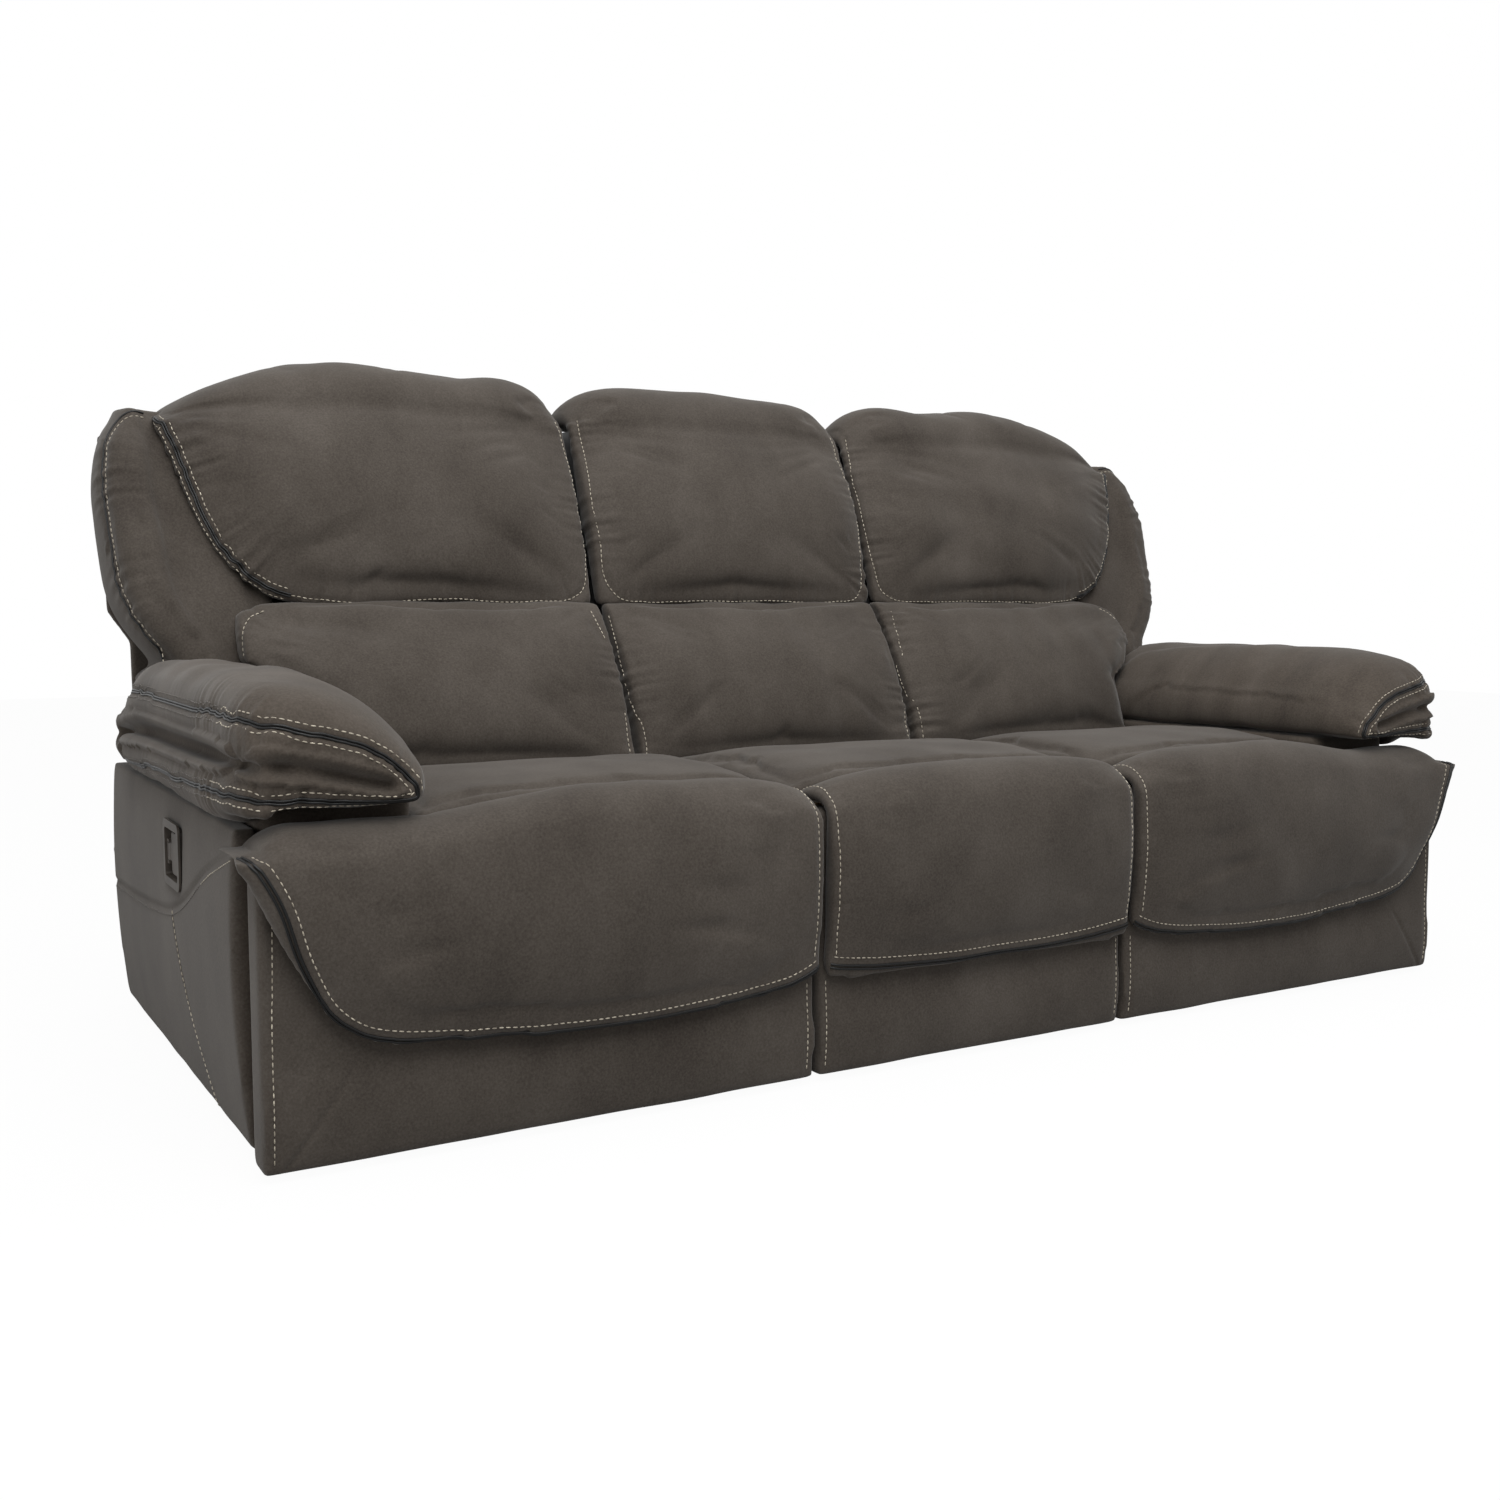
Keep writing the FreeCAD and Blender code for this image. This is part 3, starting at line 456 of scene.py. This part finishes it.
edge = {
    "band": 40 * mm,  # height over which a hem drops or a top edge lifts
    "hemRise": 60 * mm,  # how far a hem's line may rise and still be its bottom edge
    "archEnd": 0.97,  # share of the arch at which its fall stops
    "rearFade": 250 * mm,  # length over which the puckers of a seam fade behind creamTo
    "rearShare": 0.1,  # share of them that is left
}


# The bottom edge of a flap or head pad hangs a little below its solid
def lowerHem(points, seams, drop):
    hem = np.concatenate([seam["line"] for seam in seams if "hem" in seam])
    hem = hem[hem[:, 2] < hem[:, 2].min() + edge["hemRise"]]
    line = hem[np.argsort(hem[:, 0])]
    low = np.interp(points[:, 0], line[:, 0], line[:, 2])
    points[:, 2] -= drop * mm * easeIn((low + edge["band"] - points[:, 2]) / edge["band"])


# Towards its outer end the top of a head pad or flap falls in an arch
def archTop(points, middle, foot, reach):
    across = np.clip((np.abs(points[:, 0]) - middle * mm) / (reach * mm), 0, edge["archEnd"])
    above = np.clip(points[:, 2] - foot * mm, 0, None)
    points[:, 2] -= above * (1 - np.sqrt(1 - across ** 2))


def liftTop(points, lift):
    crown = easeIn((points[:, 2] - points[:, 2].max() + edge["band"]) / edge["band"])
    points[:, 2] += lift * mm * crown


# How far each point moves along its normal because of the seam nearest to it
def seamRelief(points, seams, seed):
    gap, number, arc = nearestSeam(points, seams)
    push = np.zeros(len(points))
    for index, seam in enumerate(seams):
        mine = number == index
        depth, width = seam.get("groove", (3, 4))
        push[mine] -= depth * mm * np.exp(-(gap[mine] / (width * mm)) ** 2)
        bulge, far = seam.get("bulge", (0, 20))
        push[mine] += bulge * mm * np.exp(-((gap[mine] / mm - far) / (far * 0.6)) ** 2)
        amount, reach = seam.get("gather", (0, 30))
        fade = np.exp(-(gap[mine] / (reach * mm)) ** 2) * np.clip(gap[mine] / (4 * mm), 0, 1)
        if "creamTo" in seam:
            behind = (points[mine, 1] - seam["creamTo"] * mm) / edge["rearFade"]
            fade *= edge["rearShare"] + (1 - edge["rearShare"]) * easeIn(1 - behind)
        push[mine] += amount * mm * fade * ripple(arc[mine], seed + index)
    return push


def shapePiece(part):
    if part["seams"]:  # a plain piece is fine enough as it is
        subdivide(part["piece"])
    mesh = part["piece"].data
    points = readPoints(mesh)
    if part["drop"]:
        lowerHem(points, part["seams"], part["drop"])
    if part["arch"]:
        for line in [points] + [seam["line"] for seam in part["seams"]]:
            archTop(line, *part["arch"])
    normals = readNormals(mesh)
    if part["lift"]:
        liftTop(points, part["lift"])
    inside = np.abs(normals[:, 0])  # a side that faces the next seat stays flat
    points += normals * ((part["grow"] + part["dents"] * softDents(points, part["seed"] + 100))
                         * mm * (1 - inside ** 4))[:, None]
    if part["seams"]:
        points += normals * seamRelief(points, part["seams"], part["seed"])[:, None]
    writePoints(mesh, points)


def dress(part):
    shapePiece(part)
    piece = part["piece"]
    mesh = piece.data
    piece.data.materials.clear()
    piece.data.materials.append(finishes[slotOf[part["node"]]])
    for face in mesh.polygons:
        face.use_smooth = True
    body = bodyOf[part["node"]]
    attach(piece, body)
    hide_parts(part["node"])
    if part["seams"]:
        trimSeams(part, body)


# Thread and welts

thread = {"pitch": 9 * mm, "length": 6.6 * mm, "radius": 0.95 * mm, "rise": 0.3 * mm}
welt = {"radius": 1.8 * mm, "rise": 0.5 * mm}


def onSurface(tree, line, offset=0.0, rise=0.0):
    points, normals = [], []
    for point in line:
        place, normal, _, _ = tree.find_nearest(point)
        points.append(place)
        normals.append(normal)
    points, normals = np.array(points), np.array(normals)
    for _ in range(3):
        normals[1:-1] = (normals[:-2] + normals[1:-1] * 2 + normals[2:]) / 4
        points[1:-1] = (points[:-2] + points[1:-1] * 2 + points[2:]) / 4
    if offset:
        along = np.gradient(points, axis=0)
        across = np.cross(normals, along)
        across /= np.linalg.norm(across, axis=1, keepdims=True) + 1e-12
        return onSurface(tree, points + across * offset, 0.0, rise)
    normals /= np.linalg.norm(normals, axis=1, keepdims=True)
    return points + normals * rise, normals


def trimSeams(part, body):
    shape = bmesh.new()
    shape.from_mesh(part["piece"].data)
    tree = BVHTree.FromBMesh(shape)
    shape.free()
    cream, tone = bmesh.new(), bmesh.new()
    welts = []
    for seam in part["seams"]:
        for row in seam.get("rows", ()):
            line, normals = onSurface(tree, seam["line"], row * mm * seam["side"], thread["rise"])
            visible = line[:, 1] < seam.get("creamTo", 1000) * mm
            for shape, chosen in ((cream, visible), (tone, ~visible)):
                for run in np.split(np.arange(len(line)), np.flatnonzero(np.diff(chosen)) + 1):
                    if chosen[run[0]]:
                        sewRow(shape, line[run], normals[run])
        for row in seam.get("welts", ()):
            line, _ = onSurface(tree, seam["line"], row * mm * seam["side"], welt["rise"])
            welts.append(line)
    name = part["piece"].name
    for shape, label, material in (
            (cream, "Stitches", creamThread), (tone, "ToneStitches", toneThread)):
        if len(shape.verts):
            mesh = bpy.data.meshes.new(name + label)
            shape.to_mesh(mesh)
            finishTrim(mesh, material, body)
        shape.free()
    if welts:
        finishTrim(weltMesh(name + "Welt", welts), weltCover, body)


def sewRow(shape, line, normals):
    at = arcLengths(line)
    count = int(at[-1] / thread["pitch"])
    for number in range(count):
        middle = (number + 0.5) * thread["pitch"]
        ends = [np.array([np.interp(middle + half * thread["length"] / 2, at, line[:, k])
                          for k in range(3)]) for half in (-1, 1)]
        up = Vector([np.interp(middle, at, normals[:, k]) for k in range(3)]).normalized()
        along = Vector(ends[1] - ends[0]).normalized()
        across = up.cross(along).normalized()
        turn = Matrix((across, along.cross(across) * -1, along)).transposed().to_4x4()
        size = Matrix.Diagonal((thread["radius"], thread["radius"], thread["length"] / 2, 1))
        shapeAt = Matrix.Translation(Vector((ends[0] + ends[1]) / 2)) @ turn @ size
        bmesh.ops.create_uvsphere(shape, u_segments=6, v_segments=4, radius=1.0, matrix=shapeAt)


def weltMesh(name, lines):
    curve = bpy.data.curves.new(name, "CURVE")
    curve.dimensions = "3D"
    curve.bevel_depth = welt["radius"]
    curve.bevel_resolution = 2
    curve.use_fill_caps = True
    for line in lines:
        spline = curve.splines.new("POLY")
        spline.points.add(len(line) - 1)
        for point, place in zip(spline.points, line):
            point.co = (*place, 1)
    cord = bpy.data.objects.new(name + "Line", curve)
    bpy.context.scene.collection.objects.link(cord)
    mesh = bpy.data.meshes.new_from_object(
        cord.evaluated_get(bpy.context.evaluated_depsgraph_get()))
    bpy.data.objects.remove(cord)
    mesh.name = name
    return mesh


def finishTrim(mesh, material, body):
    mesh.materials.clear()
    mesh.materials.append(material)
    for face in mesh.polygons:
        face.use_smooth = True
    item = bpy.data.objects.new(mesh.name, mesh)
    bpy.context.scene.collection.objects.link(item)
    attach(item, body)


# End seats

headSeams = (
    {"line": [(1001, 385, 1012), (1000, 354, 978), (983, 328, 925), (960, 296, 845),
              (934, 272, 775), (899, 255, 727), (866, 244, 697), (827, 238, 682)],
     "welts": (-2.0, 2.0), "rows": (-10, 10), "groove": (7, 5), "gather": (3.6, 56)},
    {"hem": True,
     "line": [(827, 238, 682), (749, 234, 674), (568, 228, 670), (400, 230, 673), (344, 236, 680),
              (320, 246, 696), (311, 264, 744), (309, 306, 856), (311, 345, 940), (312, 371, 1005)],
     "rows": (0,), "groove": (3, 5), "gather": (2.2, 42)},
    {"line": [(1001, 382, 950), (996, 356, 886), (987, 312, 775), (954, 281, 698),
              (905, 270, 669), (888, 265, 658)],
     "groove": (2, 5)},
)
lumbarSeams = (
    {"line": [(319, 226, 652), (314, 190, 600), (312, 150, 526), (308, 100, 450), (304, 79, 408)],
     "rows": (0,), "groove": (3, 5), "gather": (2.8, 40)},
    {"line": [(872, 226, 664), (896, 218, 652), (909, 208, 634), (911, 200, 606),
              (904, 190, 578)],
     "rows": (0,), "groove": (3, 5), "gather": (2.4, 34)},
)
flapSeams = (
    {"line": [(306, -385, 424), (306, -440, 428), (306, -480, 402), (306, -494, 340),
              (306, -496, 260), (306, -492, 184)],
     "rows": (0,), "groove": (2.5, 5), "gather": (0.6, 22)},
    {"line": [(298, -488, 182), (332, -492, 168), (454, -494, 152), (674, -496, 146),
              (824, -495, 156), (900, -495, 166), (942, -495, 178), (979, -495, 210),
              (1003, -497, 262), (1027, -500, 341), (1053, -490, 393), (1062, -462, 411)],
     "hem": True, "rows": (3,), "welts": (-8, -13), "groove": (1.5, 5), "gather": (0.5, 18)},
)
panelSeams = (
    {"line": [(306, -465, 150), (306, -467, 80), (306, -462, 16)],
     "rows": (0,), "groove": (2, 5)},
    {"line": [(926, -465, 160), (960, -466, 108), (996, -465, 58), (1030, -462, 14)],
     "groove": (2.6, 3.5)},
    {"line": [(1036, -463, 320), (1040, -465, 200), (1041, -465, 100), (1042, -462, 16)],
     "rows": (0,), "groove": (2, 5)},
)
armSeams = (
    {"line": [(1048, 420, 522), (1058, 300, 536), (1066, 158, 544), (1069, 10, 541),
              (1069, -164, 542), (1064, -288, 545), (1061, -394, 543), (1044, -442, 539),
              (1019, -457, 535), (978, -463, 525), (936, -463, 514), (902, -463, 498),
              (879, -463, 480), (866, -463, 467), (858, -462, 455), (855, -461, 445),
              (860, -461, 436), (874, -462, 432), (900, -463, 434), (935, -463, 439),
              (968, -463, 445), (1023, -463, 449), (1060, -446, 453), (1078, -395, 456),
              (1082, -248, 451), (1082, -127, 446), (1080, 74, 442), (1074, 207, 432),
              (1060, 380, 436)],
     "welts": (-2.0, 2.0), "rows": (-10, 10), "groove": (5, 6), "gather": (2.6, 34),
     "creamTo": -330},
    {"line": [(1052, 415, 463), (1063, 178, 487), (1061, -84, 490), (1053, -363, 491),
              (1036, -452, 490), (1013, -463, 487), (950, -463, 474), (919, -463, 466),
              (896, -463, 461)],
     "groove": (17, 8), "bulge": (7, 21)},
    {"line": [(1058, -419, 536), (1061, -431, 518), (1058, -425, 502)], "groove": (1.8, 3)},
    {"line": [(1072, -404, 480), (1077, -404, 466)], "groove": (1.8, 3)},
)
sideSeams = (
    {"line": [(1063, 490, 212), (1063, 380, 218), (1063, 266, 224), (1063, 120, 236),
              (1063, 7, 250), (1063, -60, 268), (1063, -123, 292), (1063, -180, 318),
              (1063, -225, 337), (1063, -300, 362), (1063, -360, 380)],
     "groove": (3.2, 4), "rows": (10,), "creamTo": -200},
    {"line": [(1063, 0, 250), (1063, -31, 191), (1063, -80, 129), (1063, -146, 63),
              (1063, -196, 16)],
     "rows": (4,), "groove": (2.6, 4)},
)
wingSeams = (
    {"line": [(1010, 382, 966), (1040, 378, 958), (1062, 368, 936), (1073, 356, 900),
              (1080, 340, 855), (1081, 320, 800), (1079, 296, 731), (1069, 270, 665),
              (1052, 250, 612), (1038, 240, 575)],
     "rows": (0,), "welts": (9,), "groove": (1.5, 5), "gather": (2.6, 46)},
)

headPad = {"fill": 0.75, "swells": 14, "stretch": 0.01, "dents": 2.6, "drop": 8}
lumbarPad = {"fill": 0.75, "swells": 16, "stretch": 0.01, "dents": 2.4, "lift": 8}
wingPad = {"fill": 0.6, "stretch": 0.02, "dents": 3.0, "grow": 4}
seatCushion = {"fill": 0.7}
flap = {"fill": 0.7, "swells": 4}
frontPad = {"voxel": 7 * mm, "swells": 0, "fill": 0.7, "dents": 0.7, "grow": 1.5}
armPad = {"fill": 0.7, "swells": 3, "dents": 2.2}
armBody = {"voxel": 10 * mm, "swells": 0, "fill": 0.8, "dents": 0.5}
sidePanel = {"swells": 0, "fill": 0.8, "dents": 0.8}
backPanel = {"voxel": 7 * mm, "swells": 0, "fill": 0.8, "dents": 0.5}
endSeeds = {"left": 40, "right": 10}


def endSeat(name, side, seed):
    return [
        makePiece(name + "HeadPad", name + "_head_pad", seamsFor(side, *headSeams),
                  seed=seed, arch=(650, 955, 352), **headPad),
        makePiece(name + "LumbarPad", name + "_lumbar_pad", seamsFor(side, *lumbarSeams),
                  seed=seed + 3, **lumbarPad),
        makePiece(name + "WingPad", name + "_wing_pad", seamsFor(side, *wingSeams),
                  seed=seed + 5, **wingPad),
        makePiece(name + "SeatCushion", name + "_seat_cushion", **seatCushion),
        makePiece(name + "Flap", name + "_footrest_flap", seamsFor(side, *flapSeams),
                  seed=seed + 7, drop=10, arch=(1000, 385, 52), **flap),
        makePiece(name + "FootrestPad", name + "_footrest_pad", seamsFor(side, *panelSeams),
                  **frontPad),
        makePiece(name + "ArmPad", name + "_arm_pad", seamsFor(side, *armSeams),
                  seed=seed + 11, **armPad),
        makePiece(name + "ArmBody", name + "_arm_body", **armBody),
        makePiece(name + "SidePanel", name + "_side_panel", seamsFor(side, *sideSeams),
                  **sidePanel),
        makePiece(name + "BackPanel", name + "_back_panel", **backPanel),
    ]


parts = []
for sideName, side in sides.items():
    parts += endSeat(sideName, side, endSeeds[sideName])


# Centre seat

centreHeadSeam = {
    "line": [(0, 229, 670), (120, 229, 670), (218, 230, 673), (250, 233, 680),
             (269, 244, 700), (273, 277, 785), (273, 327, 911), (275, 367, 1005)],
    "hem": True, "rows": (0,), "groove": (3, 5), "gather": (2.4, 42)}
centreLumbarSeam = {
    "line": [(278, 226, 652), (274, 190, 600), (271, 150, 526), (274, 100, 450), (278, 79, 408)],
    "rows": (0,), "groove": (3, 5), "gather": (2.8, 40)}
centreFlapSeam = {
    "line": [(276, -385, 424), (276, -440, 428), (276, -480, 402), (276, -494, 340),
             (276, -496, 260), (276, -490, 186)],
    "rows": (0,), "groove": (2.5, 5), "gather": (0.6, 22)}
centreHemSeam = {
    "line": [(0, -492, 168), (100, -492, 169), (200, -491, 174), (282, -488, 184)],
    "hem": True, "rows": (3,), "welts": (-8, -13), "groove": (1.5, 5), "gather": (0.5, 18)}
centrePanelSeam = {
    "line": [(276, -465, 150), (276, -467, 80), (276, -462, 16)],
    "rows": (0,), "groove": (2, 5)}


def bothHalves(*seams):
    return seamsFor(1, *seams) + seamsFor(-1, *seams)


parts += [
    makePiece("centreHeadPad", "centre_head_pad", bothHalves(centreHeadSeam), seed=70,
              **headPad),
    makePiece("centreLumbarPad", "centre_lumbar_pad", bothHalves(centreLumbarSeam), seed=73,
              **lumbarPad),
    makePiece("centreSeatCushion", "centre_seat_cushion", **seatCushion),
    makePiece("centreFlap", "centre_flap", bothHalves(centreFlapSeam, centreHemSeam),
              seed=77, drop=18, **flap),
    makePiece("centreFrontPad", "centre_front_pad", bothHalves(centrePanelSeam), **frontPad),
    makePiece("centreBackPanel", "centre_back_panel", **backPanel),
]
print("stage: padded copies")

swell(parts)
print("stage: swelling")

for part in parts:
    dress(part)
print("stage: seams and trim")


# Floor, backdrop and lights

studio = {
    "bounce": "#a8a8a8",  # the floor as the sofa sees it
    "floor": "#f8f8f8",
    "white": 0.96,  # share of plain white that the camera sees on the floor
    "world": 0.4,
    "lamps": (
        {"name": "key", "place": (-0.9, -2.3, 3.1), "size": 2.4, "watts": 92},
        {"name": "top", "place": (0.2, -0.4, 3.3), "size": 2.4, "watts": 46},
        {"name": "side", "place": (-3.4, -0.5, 0.6), "size": 1.4, "watts": 17},
    ),
}


def buildFloor():
    shape = bmesh.new()
    bmesh.ops.create_grid(shape, x_segments=8, y_segments=8, size=9)
    mesh = bpy.data.meshes.new("floor")
    shape.to_mesh(mesh)
    shape.free()
    floor = bpy.data.objects.new("floor", mesh)
    bpy.context.scene.collection.objects.link(floor)
    material, shader = newMaterial("paintedStudioFloor", 0.7)
    seen = addNode(material, "ShaderNodeLightPath").outputs["Is Camera Ray"]
    paint = addNode(material, "ShaderNodeMix", {
        "Factor": seen, 6: linearColour(studio["bounce"]), 7: linearColour(studio["floor"])},
        data_type="RGBA")
    material.node_tree.links.new(paint.outputs[2], shader.inputs["Base Color"])
    white = addNode(material, "ShaderNodeEmission", {"Color": (1, 1, 1, 1), "Strength": 1.0})
    share = addNode(material, "ShaderNodeMath", {0: seen, 1: studio["white"]},
                    operation="MULTIPLY")
    blend = addNode(material, "ShaderNodeMixShader", {
        "Fac": share.outputs["Value"], 1: shader.outputs["BSDF"], 2: white.outputs["Emission"]})
    output = material.node_tree.nodes["Material Output"]
    material.node_tree.links.new(blend.outputs["Shader"], output.inputs["Surface"])
    mesh.materials.append(material)


def buildWorld():
    world = bpy.data.worlds.new("studio")
    bpy.context.scene.world = world
    world.use_nodes = True
    background = world.node_tree.nodes["Background"]
    background.inputs["Color"].default_value = (1, 1, 1, 1)
    seen = world.node_tree.nodes.new("ShaderNodeLightPath")
    either = addNode(world, "ShaderNodeMath", {
        0: seen.outputs["Is Camera Ray"], 1: seen.outputs["Is Glossy Ray"]}, operation="MAXIMUM")
    strength = addNode(world, "ShaderNodeMapRange", {
        "Value": either.outputs["Value"], "To Min": studio["world"], "To Max": 1.0})
    world.node_tree.links.new(strength.outputs["Result"], background.inputs["Strength"])


def buildLamps():
    for lamp in studio["lamps"]:
        data = bpy.data.lights.new(lamp["name"], "AREA")
        data.size = lamp["size"]
        data.energy = lamp["watts"]
        item = bpy.data.objects.new(lamp["name"], data)
        bpy.context.scene.collection.objects.link(item)
        aim = Vector((0, 0, 0.5)) - Vector(lamp["place"])
        item.matrix_world = (Matrix.Translation(lamp["place"])
                             @ aim.to_track_quat("-Z", "Y").to_matrix().to_4x4())


buildFloor()
buildWorld()
buildLamps()
bpy.context.scene.view_settings.view_transform = "Standard"
print("stage: studio")
